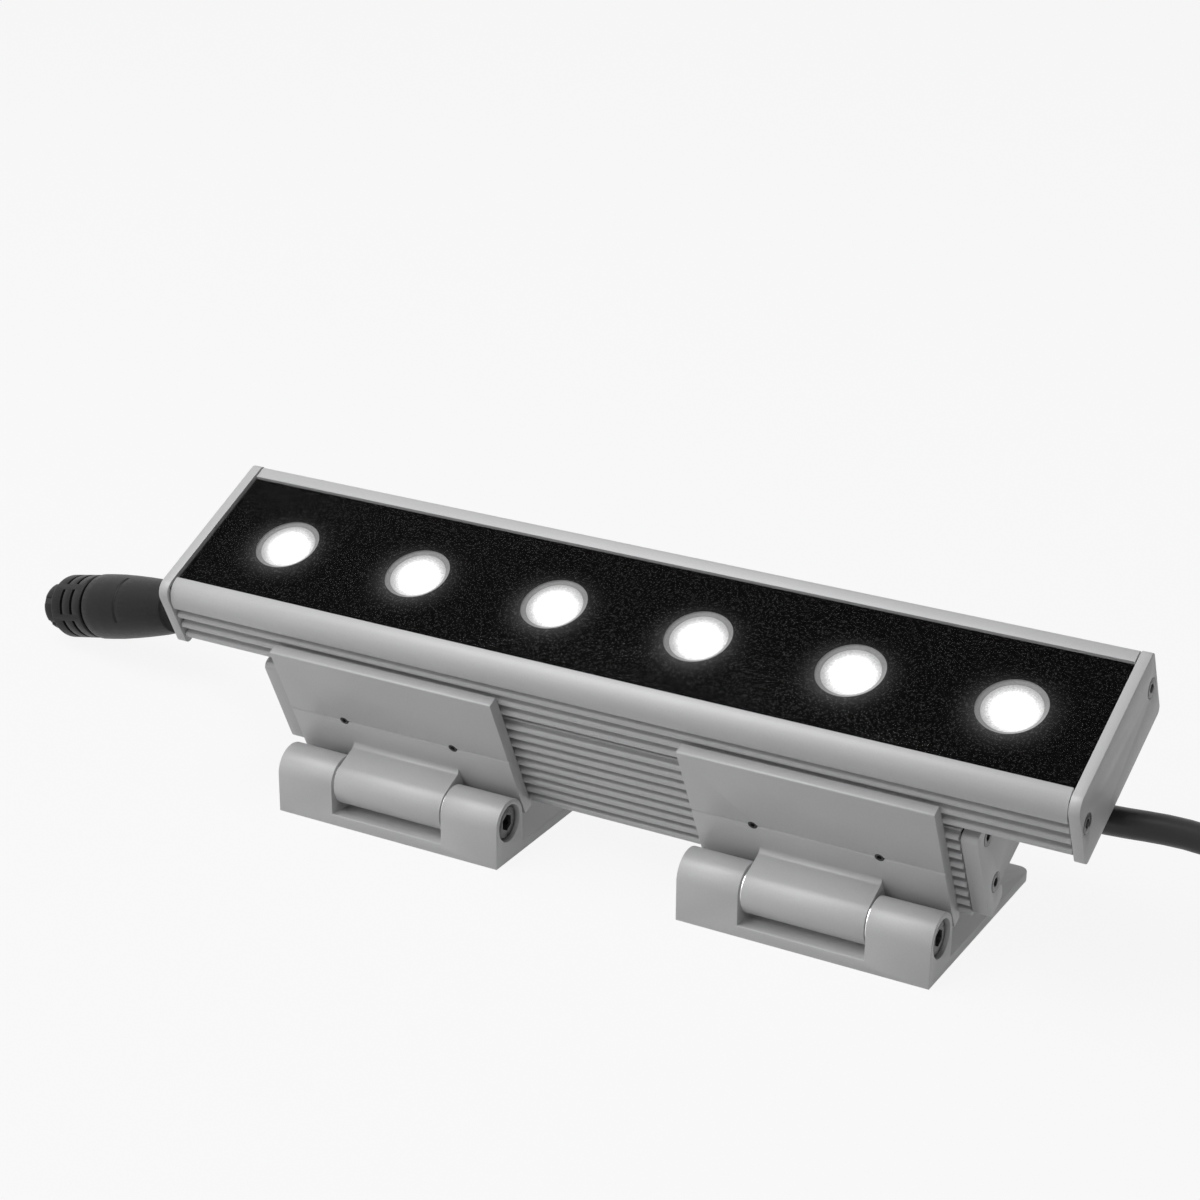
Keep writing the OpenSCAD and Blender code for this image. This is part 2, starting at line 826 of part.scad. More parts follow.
module driver_plate(side) {
    color("silver")
        lamp_place()
            difference() {
                bar(side * (box_len - plate_t) / 2, plate_t)
                    plate_section();
                for (y = plate_screw_ys())
                    for (z = plate_screw_zs())
                        head_seat(side * box_len / 2, y, z, side);
                rod(side * box_len / 2 - 2 * plate_t, box_mid, exit_z,
                    gland_thread_r + fit_gap, 4 * plate_t);
            }
}

module driver_plate_left() {
    driver_plate(-1);
}

module driver_plate_right() {
    driver_plate(1);
}

module driver_plate_gaskets() {
    color([0.12, 0.12, 0.12])
        lamp_place()
            for (s = [-1, 1])
                difference() {
                    bar(s * (tube_l + gasket_t) / 2, gasket_t)
                        difference() {
                            area(tip_y + rib_depth, box_low + fit_gap,
                                 tip_y + box_w - rib_depth, box_top - plate_drop - fit_gap);
                            box_hollow();
                        }
                    for (y = plate_screw_ys())
                        for (z = plate_screw_zs())
                            rod(s * tube_l / 2 - 2 * over, y, z, screw_r + fit_gap, 4 * over);
                }
}

module driver_plate_screws() {
    color([0.2, 0.2, 0.21])
        lamp_place()
            for (s = [-1, 1])
                for (y = plate_screw_ys())
                    for (z = plate_screw_zs())
                        end_screw(s * box_len / 2, y, z, s);
}

module driver_board() {
    color([0.1, 0.4, 0.2])
        lamp_place()
            bar(0, driver_board_l)
                area(driver_board_near, driver_board_top - board_t,
                     driver_board_far, driver_board_top);
}

module driver_board_posts() {
    color([0.85, 0.85, 0.8])
        lamp_place()
            for (s = [-1, 1])
                for (y = [driver_board_near + post_r, driver_board_far - post_r])
                    translate([s * (driver_board_l / 2 - 2 * post_r), y, box_low + box_wall])
                        cylinder(h = post_h, r = post_r);
}

// A block on the driver board, centred at x and y
module on_board(x, y, l, w, h) {
    translate([x - l / 2, y - w / 2, driver_board_top])
        cube([l, w, h]);
}

module driver_transformer() {
    x = transformer_share * driver_board_l / 2;
    color([0.75, 0.65, 0.2])
        lamp_place() {
            on_board(x, box_mid, transformer_l, transformer_w, transformer_h);
            on_board(x, box_mid, bobbin_l, bobbin_w, bobbin_h);
        }
}

// Lying cans near the front edge, and standing drums near the back edge
module driver_capacitors() {
    color([0.15, 0.2, 0.5])
        lamp_place() {
            for (share = can_shares)
                rod(share * driver_board_l / 2 - can_l / 2, driver_board_near + can_r,
                    driver_board_top + can_r, can_r, can_l);
            for (share = drum_shares)
                translate([share * driver_board_l / 2, driver_board_far - 2 * drum_r,
                           driver_board_top])
                    cylinder(h = drum_h, r = drum_r);
        }
}

module driver_choke() {
    color([0.65, 0.35, 0.15])
        lamp_place()
            translate([choke_share * driver_board_l / 2, box_mid,
                       driver_board_top + choke_core])
                rotate_extrude()
                    translate([choke_r - choke_core, 0])
                        circle(choke_core);
}

// Power transistors that stand along the board's back edge
module driver_chips() {
    color([0.12, 0.12, 0.13])
        lamp_place()
            for (share = chip_shares)
                on_board(share * driver_board_l / 2, driver_board_far - chip_t,
                         chip_l, chip_t, chip_tall);
}

module terminal_blocks() {
    color([0.2, 0.55, 0.3])
        lamp_place()
            for (s = [-1, 1])
                on_board(s * block_x, box_mid, block_l, block_w, block_h);
}

// Gland: hexagonal body on the end plate, threaded neck through it, tapered strain relief
module gland(side) {
    hex_r = gland_af / 2 / cos(30);
    color([0.08, 0.08, 0.08])
        lamp_place()
            mirror([side > 0 ? 0 : 1, 0, 0])
                translate([box_len / 2, box_mid, exit_z])
                    rotate([0, 90, 0])
                        difference() {
                            union() {
                                translate([0, 0, -plate_t - 2 * gasket_t - locknut_t])
                                    cylinder(h = plate_t + 2 * gasket_t + locknut_t + gland_l,
                                             r = gland_thread_r);
                                translate([0, 0, seal_h])
                                    intersection() {
                                        cylinder(h = gland_l - seal_h, r = hex_r, $fn = 6);
                                        cylinder(h = gland_l - seal_h, r1 = hex_r,
                                                 r2 = gland_af / 2);
                                    }
                                translate([0, 0, gland_l])
                                    cylinder(h = relief_l, r1 = relief_d / 2,
                                             r2 = lead_d / 2 + relief_wall);
                            }
                            translate([0, 0, -2 * plate_t - locknut_t])
                                cylinder(h = 4 * plate_t + gland_l + relief_l + locknut_t,
                                         r = lead_d / 2 + run_gap);
                        }
}

module gland_left() {
    gland(-1);
}

module gland_right() {
    gland(1);
}

// O-rings between gland and end plate
module gland_seals() {
    color([0.05, 0.05, 0.05])
        lamp_place()
            for (s = [0, 1])
                mirror([s, 0, 0])
                    translate([box_len / 2, box_mid, exit_z])
                        rotate([0, 90, 0])
                            rotate_extrude()
                                area(gland_thread_r + press_gap, 0, gland_af / 2, seal_h);
}

module gland_locknuts() {
    color([0.7, 0.6, 0.35])
        lamp_place()
            for (s = [0, 1])
                mirror([s, 0, 0])
                    translate([box_len / 2 - plate_t - locknut_t, box_mid, exit_z])
                        rotate([0, 90, 0])
                            difference() {
                                cylinder(h = locknut_t, r = gland_af / 2, $fn = 6);
                                translate([0, 0, -over])
                                    cylinder(h = locknut_t + 2 * over,
                                             r = gland_thread_r + press_gap);
                            }
}

// The leads' ends inside: the sheath through the gland, and three cores to the terminal block
module lead_tail(side) {
    start = box_len / 2 - plate_t - tail_in;
    color([0.1, 0.1, 0.1])
        lamp_place()
            mirror([side > 0 ? 0 : 1, 0, 0]) {
                rod(start, box_mid, exit_z, lead_d / 2, plate_t + tail_in + gland_l + relief_l);
                for (i = [-1, 0, 1])
                    rod(block_x + block_l / 2, box_mid + i * 3 * core_r, exit_z,
                        core_r, start - block_x - block_l / 2);
            }
}

module lead_tail_left() {
    lead_tail(-1);
}

module lead_tail_right() {
    lead_tail(1);
}

// Bracket leaf: flat plate on the rib tips, web and barrel in front of its lower part
module leaf_section() {
    difference() {
        soft_area(leaf_front, -leaf_top - leaf_h, leaf_back, -leaf_top,
                  [leaf_edge_r, leaf_edge_r, leaf_edge_r, leaf_edge_r]);
        translate([leaf_front, -screw_line])
            rotate(45)
                square(line_cut * 2, center = true);
    }
}

module web_section() {
    web_top = axis_z + barrel_r;
    leaf_low = -leaf_top - leaf_h;
    translate([axis_y, axis_z])
        circle(barrel_r);
    polygon([
        [axis_y, web_top],
        [leaf_front + leaf_t / 2, web_top],
        [leaf_front + leaf_t / 2, leaf_low + leaf_edge_r],
        [leaf_front, leaf_low + leaf_edge_r],
        [axis_y, axis_z - barrel_r]
    ]);
    difference() {
        area(leaf_front - web_fillet, web_top, leaf_front + over, web_top + web_fillet);
        translate([leaf_front - web_fillet, web_top + web_fillet])
            circle(web_fillet);
    }
}

module leaf(x) {
    color("silver")
        lamp_place()
            difference() {
                union() {
                    bar(x, leaf_w)
                        leaf_section();
                    bar(x, barrel_w)
                        web_section();
                }
                rod(x - slot_w / 2, axis_y, axis_z, bolt_d / 2 + bush_wall, slot_w);
                for (s = [-1, 1])
                    translate([x + s * screw_x, leaf_front - over, -screw_line])
                        rotate([-90, 0, 0])
                            cylinder(h = leaf_t + 2 * over, r = screw_r);
            }
}

module leaf_left() {
    leaf(-bracket_x);
}

module leaf_right() {
    leaf(bracket_x);
}

// Small socket screws that clamp the leaves to the driver box
module leaf_screws() {
    reach = leaf_t + run_gap + rib_depth + box_wall;
    color([0.2, 0.2, 0.21])
        lamp_place()
            for (b = [-1, 1])
                for (s = [-1, 1])
                    translate([b * bracket_x + s * screw_x, leaf_front, -screw_line])
                        rotate([-90, 0, 0])
                            difference() {
                                cylinder(h = reach, r = screw_r - press_gap);
                                translate([0, 0, -over])
                                    cylinder(h = over + screw_r, r = screw_r * hex_share,
                                             $fn = 6);
                            }
}

module barrel_bushes() {
    color([0.9, 0.88, 0.8])
        lamp_place()
            for (b = [-1, 1])
                for (s = [-1, 1])
                    difference() {
                        rod(b * bracket_x + (s > 0 ? barrel_w / 2 - bush_l : -barrel_w / 2),
                            axis_y, axis_z, bolt_d / 2 + bush_wall - press_gap, bush_l);
                        rod(b * bracket_x - slot_w / 2, axis_y, axis_z,
                            bolt_d / 2 + run_gap, slot_w);
                    }
}

// Base plate with the two knuckles that hold the barrel
module knuckle_section() {
    translate([0, axis_h])
        circle(knuckle_r);
    area(-knuckle_r, 0, knuckle_r, axis_h);
}

module base(x) {
    color("silver")
        translate([x, pivot_y, 0])
            difference() {
                union() {
                    difference() {
                        linear_extrude(base_t)
                            soft_area(-base_w / 2, -knuckle_r, base_w / 2, base_back,
                                      [0, 0, back_r, back_r]);
                        for (sx = [-1, 1])
                            for (y = [mount_front, mount_front + mount_dy])
                                translate([sx * mount_dx / 2, y, -over])
                                    cylinder(h = base_t + 2 * over, r = mount_d / 2);
                    }
                    bar(0, slot_w)
                        area(-knuckle_r, 0, knuckle_r, sill_h);
                    for (s = [-1, 1])
                        bar(s * (slot_w + knuckle_w) / 2, knuckle_w)
                            knuckle_section();
                }
                rod(-slot_w / 2, 0, axis_h, dish_r, slot_w);
                rod(0, 0, axis_h, bolt_d / 2 + fit_gap, base_w);
                rod(-base_w / 2 + thread_end, 0, axis_h, bolt_d / 2, base_w / 2);
                rod(base_w / 2 - counterbore_l, 0, axis_h, counterbore_d / 2,
                    counterbore_l + over);
            }
}

module base_left() {
    base(-bracket_x);
}

module base_right() {
    base(bracket_x);
}

// Socket bolt that runs through the right knuckle and the barrel into the left knuckle
module pivot_bolt(x) {
    seat = base_w / 2 - counterbore_l;
    shank_end = -base_w / 2 + thread_end + fit_gap;
    color([0.15, 0.15, 0.16])
        translate([x, pivot_y, 0])
            difference() {
                union() {
                    rod(seat, 0, axis_h, bolt_head_d / 2, bolt_head_h);
                    rod(shank_end, 0, axis_h, bolt_d / 2 - press_gap, seat - shank_end);
                }
                translate([seat + bolt_head_h * (1 - hex_share), 0, axis_h])
                    rotate([0, 90, 0])
                        cylinder(h = bolt_head_h, r = bolt_head_d / 2 * hex_share, $fn = 6);
            }
}

module pivot_bolt_left() {
    pivot_bolt(-bracket_x);
}

module pivot_bolt_right() {
    pivot_bolt(bracket_x);
}

module friction_washers() {
    color([0.8, 0.8, 0.82])
        for (b = [-1, 1])
            for (s = [-1, 1])
                translate([b * bracket_x, pivot_y, 0])
                    difference() {
                        rod(s > 0 ? slot_w / 2 - run_gap - washer_t : -slot_w / 2 + run_gap,
                            0, axis_h, barrel_r - washer_t, washer_t);
                        rod(-slot_w / 2, 0, axis_h, bolt_d / 2 + fit_gap, slot_w);
                    }
}

// A lead: one tube swept along its route, with its end faces square to what they meet
function unit(v) = v / norm(v);
function aim_of(heading, dip) =
    [cos(heading) * cos(dip), sin(heading) * cos(dip), -sin(dip)];
function way(p, i, first, last) =
    i == 0 ? first : i == len(p) - 1 ? last : unit(p[i + 1] - p[i - 1]);
function ring_at(c, t, r, n) =
    let (side = unit(cross(t, [0, 0, 1])), up = cross(side, t))
    [for (k = [0 : n - 1]) c + r * (cos(360 * k / n) * side + sin(360 * k / n) * up)];

module lead(p, first, last) {
    n = lead_sides;
    rings = [for (i = [0 : len(p) - 1])
        each ring_at(p[i], way(p, i, first, last), lead_d / 2, n)];
    sides = [for (i = [0 : len(p) - 2]) for (k = [0 : n - 1])
        let (a = i * n + k, b = i * n + (k + 1) % n)
        each [[a, b, b + n], [a, b + n, a + n]]];
    color([0.1, 0.1, 0.1])
        polyhedron(
            points = rings,
            faces = concat(sides, [
                [for (k = [n - 1 : -1 : 0]) k],
                [for (k = [0 : n - 1]) (len(p) - 1) * n + k]
            ]));
}

module left_lead() {
    lead(left_route, [-1, 0, 0], aim_of(left_heading, left_dip));
}

module right_lead() {
    lead(right_route, [1, 0, 0], aim_of(right_heading, right_dip));
}

// Puts a connector, drawn upright from its lead end, at the end of a route
module plug_place(p, heading, dip) {
    translate(p[len(p) - 1])
        rotate([0, 90 + dip, heading])
            children();
}

module left_place() {
    plug_place(left_route, left_heading, left_dip)
        children();
}

module right_place() {
    plug_place(right_route, right_heading, right_dip)
        children();
}

// Moulded grip with its collar face, its core and four finger grooves on two sides
module connector_grip(core_share) {
    core_low = plug_l * collar_share;
    difference() {
        rotate_extrude()
            polygon(concat(
                [[0, 0]],
                [for (s = grip_shares) [s[1] * plug_d / 2, s[0] * plug_l]],
                [[core_d / 2, core_low - fit_gap],
                 [core_d / 2, plug_l * core_share],
                 [0, plug_l * core_share]]
            ));
        for (i = [0 : 3])
            for (turn = [0, 180])
                translate([0, 0, plug_l * (grip_start_share + i * grip_step_share)])
                    rotate([0, 0, turn + grip_turn - grip_arc / 2])
                        rotate_extrude(angle = grip_arc)
                            translate([plug_d / 2, 0])
                                circle(grip_r);
    }
}

module left_connector() {
    color([0.12, 0.12, 0.12])
        left_place()
            connector_grip(core_l_share);
}

// Mating shell of the left connector: keyed tube in front of the lock ring
module left_connector_shell() {
    low = plug_l * core_l_share;
    insert_h = (plug_l - low) * insert_share;
    color([0.14, 0.14, 0.14])
        left_place()
            difference() {
                rotate_extrude()
                    difference() {
                        area(0, low, shell_d / 2, plug_l);
                        corner_cut(shell_d / 2, plug_l, -1, -1, shell_round);
                    }
                translate([0, 0, low + insert_h])
                    cylinder(h = plug_l, r = shell_d / 2 * bore_share);
                for (a = [0 : 60 : 300])
                    rotate([0, 0, a])
                        translate([shell_d / 2 - key_d, -key_w / 2, low + insert_h / 2])
                            cube([key_d + over, key_w, plug_l]);
                for (a = [0 : 72 : 288])
                    rotate([0, 0, a])
                        translate([shell_d / 4, 0, low + insert_h / 4])
                            cylinder(h = insert_h, r = contact_r + fit_gap);
            }
}

// Plain lock ring, free to turn on the connector's core, with a step at its collar end
module lock_ring(l) {
    translate([0, 0, plug_l * collar_share])
        rotate_extrude()
            difference() {
                area(core_d / 2 + run_gap, 0, ring_d / 2, l);
                area(ring_d / 2 - ring_step, -over, ring_d / 2 + over, ring_gap);
                corner_cut(ring_d / 2, ring_gap, -1, 1, notch_d);
                corner_cut(ring_d / 2, l, -1, -1, notch_d);
            }
}

// Left lock ring, with two rows of long windows in its rim
module left_lock_ring() {
    l = plug_l * ring_l_share;
    color([0.16, 0.16, 0.16])
        left_place()
            difference() {
                lock_ring(l);
                for (share = window_shares)
                    for (a = [0 : 60 : 300])
                        translate([0, 0, plug_l * collar_share + share * l])
                            rotate([0, 0, window_turn - window_arc / 2 + a])
                                rotate_extrude(angle = window_arc)
                                    area(ring_d / 2 - window_d, -window_w / 2,
                                         ring_d / 2 + over, window_w / 2);
            }
}

module contacts(low, high) {
    color([0.85, 0.7, 0.35])
        for (a = [0 : contact_count - 1])
            rotate([0, 0, a * 360 / contact_count])
                translate([shell_d / 4, 0, low])
                    cylinder(h = high - low, r = contact_r);
}

// Socket contacts of the left connector, level with its insert's face
module left_contacts() {
    low = plug_l * core_l_share;
    insert_h = (plug_l - low) * insert_share;
    left_place()
        difference() {
            contacts(low + insert_h / 4, low + insert_h - fit_gap);
            for (a = [0 : contact_count - 1])
                rotate([0, 0, a * 360 / contact_count])
                    translate([shell_d / 4, 0, low + insert_h / 2])
                        cylinder(h = insert_h, r = contact_r / 2);
        }
}

module right_connector() {
    color([0.12, 0.12, 0.12])
        right_place()
            connector_grip(nut_core_share);
}

// Lock nut of the right connector: it reaches past the insert and takes a mating shell
module right_lock_ring() {
    l = plug_l * (1 - collar_share);
    low = plug_l * collar_share;
    mouth_r = shell_d / 2 + lens_gap;
    color([0.16, 0.16, 0.16])
        right_place()
            difference() {
                lock_ring(l);
                translate([0, 0, low + 2 * notch_w])
                    cylinder(h = l, r = mouth_r);
                for (a = [0 : rim_notches - 1])
                    rotate([0, 0, a * 360 / rim_notches])
                        translate([ring_d / 2 - notch_d, -notch_w / 2, low + l / 2])
                            cube([notch_d + over, notch_w, l]);
            }
}

// Insert of the right connector, which carries the pins
module right_insert() {
    low = plug_l * nut_core_share;
    color([0.2, 0.2, 0.2])
        right_place()
            difference() {
                translate([0, 0, low])
                    cylinder(h = plug_l * nut_insert_share, r = core_d / 2 * bore_share);
                for (a = [0 : contact_count - 1])
                    rotate([0, 0, a * 360 / contact_count])
                        translate([shell_d / 4, 0, low + fit_gap])
                            cylinder(h = plug_l, r = contact_r + fit_gap / 2);
            }
}

module right_contacts() {
    right_place()
        contacts(plug_l * nut_core_share + fit_gap, plug_l * pin_end_share);
}

head_extrusion();
head_cap_left();
head_cap_right();
head_cap_gaskets();
head_cap_screws();
front_panel();
front_glass();
glass_gasket();
lens_holders();
lenses();
light_board();
light_chips();
light_board_screws();
thermal_pad();
bridge_strip();
joining_screws();
wire_grommet();
link_wires();
driver_housing();
driver_plate_left();
driver_plate_right();
driver_plate_gaskets();
driver_plate_screws();
driver_board();
driver_board_posts();
driver_transformer();
driver_capacitors();
driver_choke();
driver_chips();
terminal_blocks();
gland_left();
gland_right();
gland_seals();
gland_locknuts();
lead_tail_left();
lead_tail_right();
leaf_left();
leaf_right();
leaf_screws();
barrel_bushes();
base_left();
base_right();
pivot_bolt_left();
pivot_bolt_right();
friction_washers();
left_lead();
left_connector();
left_connector_shell();
left_lock_ring();
left_contacts();
right_lead();
right_connector();
right_lock_ring();
right_insert();
right_contacts();
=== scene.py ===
# %% [markdown]
# # A wall grazer light
# This lesson dresses a finished mechanical model. The lamp is a slim bar: an aluminium head
# with a black panel and a row of bright openings, a ribbed driver box below it, and hinged
# brackets that hold both over their base plates. Each end carries a short black lead with a
# round connector. The sizes come from the model, so here we only look after edges, finishes,
# light and the camera. First we load the model.

# %% Load the model
import math

import bpy
from mathutils import Matrix, Vector


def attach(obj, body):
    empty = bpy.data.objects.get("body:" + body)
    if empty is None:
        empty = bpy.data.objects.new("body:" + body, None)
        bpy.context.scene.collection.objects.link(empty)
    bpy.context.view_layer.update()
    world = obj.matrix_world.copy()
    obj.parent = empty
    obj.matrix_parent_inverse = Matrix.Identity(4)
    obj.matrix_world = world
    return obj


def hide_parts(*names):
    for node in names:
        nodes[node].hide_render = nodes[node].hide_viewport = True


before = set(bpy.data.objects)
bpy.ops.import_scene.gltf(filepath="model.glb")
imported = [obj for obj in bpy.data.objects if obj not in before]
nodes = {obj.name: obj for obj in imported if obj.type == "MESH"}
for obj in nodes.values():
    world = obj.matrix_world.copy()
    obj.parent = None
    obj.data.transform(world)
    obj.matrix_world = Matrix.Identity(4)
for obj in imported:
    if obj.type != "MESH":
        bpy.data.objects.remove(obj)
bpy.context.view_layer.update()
MM = 0.001

# %% [markdown]
# ## Camera
# The photograph looks down on the lamp from its right front, from a little under ninety
# centimetres. Its place and turn were worked out from straight edges of known length. The three
# directions below are the camera's right, its up, and the way back from the lamp.

# %% Camera
CAMERA_AT = (0.3605, -0.67045, 0.3953)
CAMERA_RIGHT = (0.8706, 0.4920, 0.0062)
CAMERA_UP = (-0.1922, 0.3283, 0.9248)
CAMERA_LENS = 82.53

right = Vector(CAMERA_RIGHT).normalized()
back = right.cross(Vector(CAMERA_UP)).normalized()
up = back.cross(right)
camera = bpy.data.objects.new("camera", bpy.data.cameras.new("camera"))
bpy.context.scene.collection.objects.link(camera)
turn = Matrix((right, up, back)).transposed().to_4x4()
camera.matrix_world = Matrix.Translation(CAMERA_AT) @ turn
camera.data.lens = CAMERA_LENS
camera.data.sensor_width = 36
camera.data.clip_start = 0.01
bpy.context.scene.camera = camera
print("camera to lamp, m:", round(Vector(CAMERA_AT).length, 3))

# %% [markdown]
# ## Leads
# A lead has a fixed length and lies where its own weight puts it. We could simulate it, but
# its route is short and settled, so a line through chosen points, given the lead's thickness
# and turned into a mesh, is enough. The points are the model's own, in millimetres, from the
# strain relief to the connector. Both leads are rubber, nearly nine millimetres thick.

# %% Leads
LEAD_RADIUS = 4.4 * MM
LEFT_ROUTE = [
    (-140.5, 2.5, 45), (-144.9, 2.7, 44.9), (-149.3, 3.3, 44.6), (-153.6, 4.3, 44.1), (-157.8, 5.7, 43.3),
    (-161.9, 7.6, 42.3), (-165.5, 9.7, 41.2), (-169.1, 12.2, 39.9), (-172.5, 14.8, 38.4), (-175.6, 17.3, 36.9),
    (-179, 19.9, 35.3), (-182.5, 22.3, 33.7), (-186, 24.4, 32.2), (-189.9, 26.3, 30.7), (-193.8, 27.7, 29.4),
    (-198, 28.8, 28.1),
]
RIGHT_ROUTE = [
    (140.5, 2.5, 45), (146.2, 2.9, 45), (151.6, 3.5, 45), (157.1, 4.4, 45), (162.6, 5.5, 44.8),
    (168.2, 6.6, 44.3), (173.5, 7.5, 43.5), (178.9, 8.3, 42.3), (184.2, 8.9, 40.7), (189.7, 9.2, 38.6),
    (194.7, 9.3, 36.2), (199.6, 9.2, 33.4), (204.2, 8.8, 30.4), (208.8, 8, 27.1), (213.1, 6.9, 23.9),
    (217.5, 5.5, 20.5), (221.7, 3.9, 17.4), (226.1, 1.9, 14.4), (230.5, -0.3, 11.7), (235, -2.8, 9.4),
    (239.4, -5.4, 7.6), (244.2, -8.4, 6.1), (248.7, -11.3, 5.1), (253.4, -14.3, 4.5), (258.2, -17.2, 4.4),
    (263.2, -19.9, 4.6), (268.3, -22.3, 5.2), (273.3, -24.2, 6.1), (278.6, -25.8, 7.2), (284, -27, 8.4),
    (289.5, -27.8, 9.6), (295, -28.3, 10.6), (300.3, -28.7, 11.2), (306, -29, 11.6),
]


def lead(name, route_mm):
    """One free lead: a round line along its route, turned into a mesh."""
    route = [tuple(v * MM for v in point) for point in route_mm]
    line = bpy.data.curves.new(name, "CURVE")
    line.dimensions = "3D"
    line.bevel_depth = LEAD_RADIUS
    line.bevel_resolution = 8
    line.use_fill_caps = True
    spline = line.splines.new("POLY")
    spline.points.add(len(route) - 1)
    for point, place in zip(spline.points, route):
        point.co = (*place, 1)
    piece = bpy.data.objects.new(name + "_jacket", line)
    bpy.context.scene.collection.objects.link(piece)
    bpy.ops.object.select_all(action="DESELECT")
    bpy.context.view_layer.objects.active = piece
    piece.select_set(True)
    bpy.ops.object.convert(target="MESH")
    piece = bpy.context.object
    bpy.ops.object.shade_smooth_by_angle(angle=math.radians(40))
    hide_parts(name)
    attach(piece, "lamp")
    return piece


left_lead = lead("left_lead", LEFT_ROUTE)
right_lead = lead("right_lead", RIGHT_ROUTE)

# %% [markdown]
# ## A small language for shaders
# Shader maths is easier to read as Python than as a net of boxes. The class below wraps one
# socket. Adding or multiplying two of them makes a Math node, and `make` adds any other node:
# its settings are set first, then its sockets get values or links.

# %% Shader helper


class Wire:
    """One output socket of a material, with the operators that this lesson uses."""

    def __init__(self, tree, socket=None):
        self.tree = tree
        self.socket = socket

    def make(self, kind, settings=(), sockets=(), out=0):
        """A node of that kind: settings first, then the values or links of its sockets."""
        node = self.tree.nodes.new(kind)
        for name, value in dict(settings).items():
            setattr(node, name, value)
        for name, value in dict(sockets).items():
            if isinstance(value, Wire):
                self.tree.links.new(value.socket, node.inputs[name])
            else:
                node.inputs[name].default_value = value
        return Wire(self.tree, node.outputs[out])

    def maths(self, operation, *values):
        """A Math node with that operation."""
        return self.make("ShaderNodeMath", {"operation": operation}, enumerate(values))

    def __add__(self, other):
        return self.maths("ADD", self, other)

    def __sub__(self, other):
        return self.maths("SUBTRACT", self, other)

    def __rsub__(self, other):
        return self.maths("SUBTRACT", other, self)

    def __mul__(self, other):
        return self.maths("MULTIPLY", self, other)

    __radd__ = __add__
    __rmul__ = __mul__

    def clamp(self):
        """The same value, kept between 0 and 1."""
        return self.maths("MINIMUM", self.maths("MAXIMUM", self, 0.0), 1.0)


def noise(place, scale, detail=2.0, roughness=0.5):
    """Cloudy noise with features about 1 / scale metres wide."""
    return place.make("ShaderNodeTexNoise", {"noise_dimensions": "3D"},
                      {"Vector": place, "Scale": scale, "Detail": detail, "Roughness": roughness})


def blend_colours(share, low, high):
    """The colour low where share is 0 and high where it is 1."""
    return share.make("ShaderNodeMix", {"data_type": "RGBA"},
                      {0: share, 6: (*low, 1), 7: (*high, 1)}, out=2)


def grey(level):
    """A plain grey of that level."""
    return (level, level, level)


def start_material(name, **fixed):
    """A new material: its shader, and the wire of the piece's own coordinates."""
    material = bpy.data.materials.new(name)
    material.use_nodes = True
    tree = material.node_tree
    shader = tree.nodes["Principled BSDF"]
    for socket, value in fixed.items():
        shader.inputs[socket.replace("_", " ")].default_value = value
    place = Wire(tree).make("ShaderNodeTexCoord", out=3)
    return material, shader, place


def drive(shader, socket, wire):
    """Links a wire to a socket of the shader."""
    wire.tree.links.new(wire.socket, shader.inputs[socket])


def bump(shader, height, distance, strength=1.0):
    """Raises the surface by a height pattern; distance is in metres."""
    drive(shader, "Normal", height.make("ShaderNodeBump", (),
          {"Height": height, "Distance": distance, "Strength": strength}))


# %% [markdown]
# ## Silver powder coat
# The head, box, brackets and base plates share one finish: fine metallic powder coat. Close
# up it is an eggshell with tiny bright flakes. Paint could be one flat grey, but then every
# face would look like paper, so two noises vary its colour and roughness a little and a very
# small bump gives the grain.

# %% Silver
SILVER_DARK = (0.54, 0.54, 0.545)
SILVER_LIGHT = (0.66, 0.66, 0.665)


def make_silver():
    """Fine powder coat: a pale grey that hardly shines."""
    material, shader, place = start_material("silver powder coat", Metallic=0.12,
                                             Specular_IOR_Level=0.35)
    grain = noise(place, 2600, 3)
    cloud = noise(place, 35, 2)
    share = (grain * 0.7 + cloud * 0.5 - 0.1).clamp()
    drive(shader, "Base Color", blend_colours(share, SILVER_DARK, SILVER_LIGHT))
    drive(shader, "Roughness", grain * 0.16 + 0.36)
    bump(shader, grain, 0.00002, 0.5)
    return material


silver = make_silver()
print("made", silver.name)

# %% [markdown]
# ## Black panel
# The panel in front is black with very fine pale specks, like fine sandpaper. Round each opening
# a faint halo of light is painted into its emission, stronger below the opening. We make the
# specks from noise that is cut high, and the painted halo from the distance to the nearest
# opening. The same distance serves the lenses and their holders, so it gets its own function:
# the head leans back, so it first turns the piece's coordinates into the plane of the panel.

# %% Black panel
OPENING_PITCH = 48.7 * MM
OPENING_ROW = 23.7 * MM
OPENING_RADIUS = 10.4 * MM
LENS_RADIUS = 8.8 * MM
LEAN = math.radians(24.75)
PIVOT_Y, PIVOT_Z = -29.297 * MM, 12.7 * MM
PANEL_EDGE = -19.15 * MM


def from_opening(place):
    """Across and up from the centre of the nearest opening, and the distance, in metres."""
    x, y, z = (place.make("ShaderNodeSeparateXYZ", (), {0: place}, out=i) for i in range(3))
    pitches = x * (1 / OPENING_PITCH)
    across = (pitches.maths("FRACT", pitches) - 0.5) * OPENING_PITCH
    rise = (y - PIVOT_Y) * math.cos(LEAN) + (z - PIVOT_Z) * math.sin(LEAN) + (PANEL_EDGE - OPENING_ROW)
    away = place.maths("SQRT", across * across + rise * rise)
    return across, rise, away


